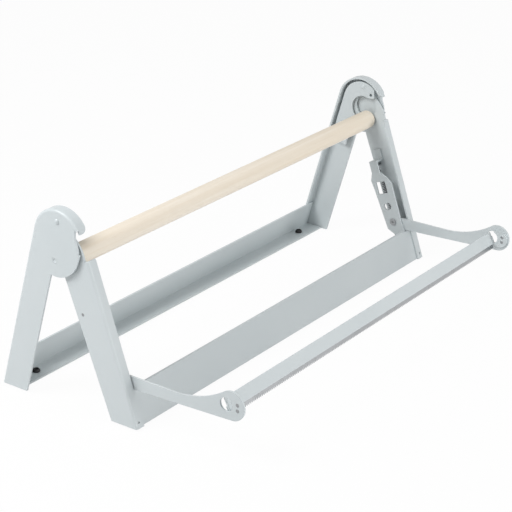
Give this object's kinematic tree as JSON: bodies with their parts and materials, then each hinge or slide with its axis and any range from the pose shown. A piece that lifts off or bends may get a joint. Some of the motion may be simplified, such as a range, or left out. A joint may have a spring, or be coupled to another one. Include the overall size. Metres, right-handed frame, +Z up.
{
  "type": "paper roll dispenser and cutter",
  "caption": "Sheet-steel A-frame stand that carries a paper roll on a wooden dowel, with a hinged serrated cutter bar on two arms in front.",
  "frame": {"origin": "centre of the footprint, on the surface that the feet stand on", "axes": "+X along the dowel, -Y towards the cutter bar, +Z up"},
  "size_m": [0.644, 0.3517, 0.2505],
  "materials": {
    "grey_enamel": "satin light blue-grey enamel",
    "dowel_wood": "bare pale hardwood",
    "foot_rubber": "black rubber",
    "spring_steel": "bright drawn wire",
    "rivet_steel": "plated",
    "blade_steel": "ground"
  },
  "bodies": {
    "rear_frame": {"left_rear_leg": "grey_enamel", "right_rear_leg": "grey_enamel", "left_hook_plate": "grey_enamel", "right_hook_plate": "grey_enamel", "hook_spacers": "grey_enamel", "hook_rivets": "grey_enamel", "leg_pivot_pins": "grey_enamel", "rear_cross_member": "grey_enamel", "rear_feet": "foot_rubber"},
    "front_frame": {"left_front_leg": "grey_enamel", "right_front_leg": "grey_enamel", "front_cross_member": "grey_enamel", "front_feet": "foot_rubber", "left_tension_plate": "grey_enamel", "right_tension_plate": "grey_enamel", "arm_pivot_pins": "rivet_steel", "spring_anchor_pins": "rivet_steel", "left_spring": "spring_steel", "right_spring": "spring_steel"},
    "cutter": {"left_cutter_arm": "grey_enamel", "right_cutter_arm": "grey_enamel", "arm_spring_pins": "rivet_steel", "cutter_bar": "grey_enamel", "cutter_blade": "blade_steel", "tab_rivets": "rivet_steel"},
    "dowel": {"roll_dowel": "dowel_wood"}
  },
  "joints": [
    {"name": "legs_fold", "type": "hinge", "parent": "rear_frame", "child": "front_frame", "pos_m": [0, 0.07844, 0.1877], "axis": [1, 0, 0], "range_deg": [0, 36]},
    {"name": "cutter_lift", "type": "hinge", "parent": "front_frame", "child": "cutter", "pos_m": [0, 0.00665, 0.05276], "axis": [-1, 0, 0], "range_deg": [0, 92], "deforming": ["left_spring", "right_spring"]},
    {"name": "dowel_spin", "type": "hinge", "parent": "rear_frame", "child": "dowel", "pos_m": [0, 0.06464, 0.1905], "axis": [1, 0, 0], "continuous": true}
  ]
}
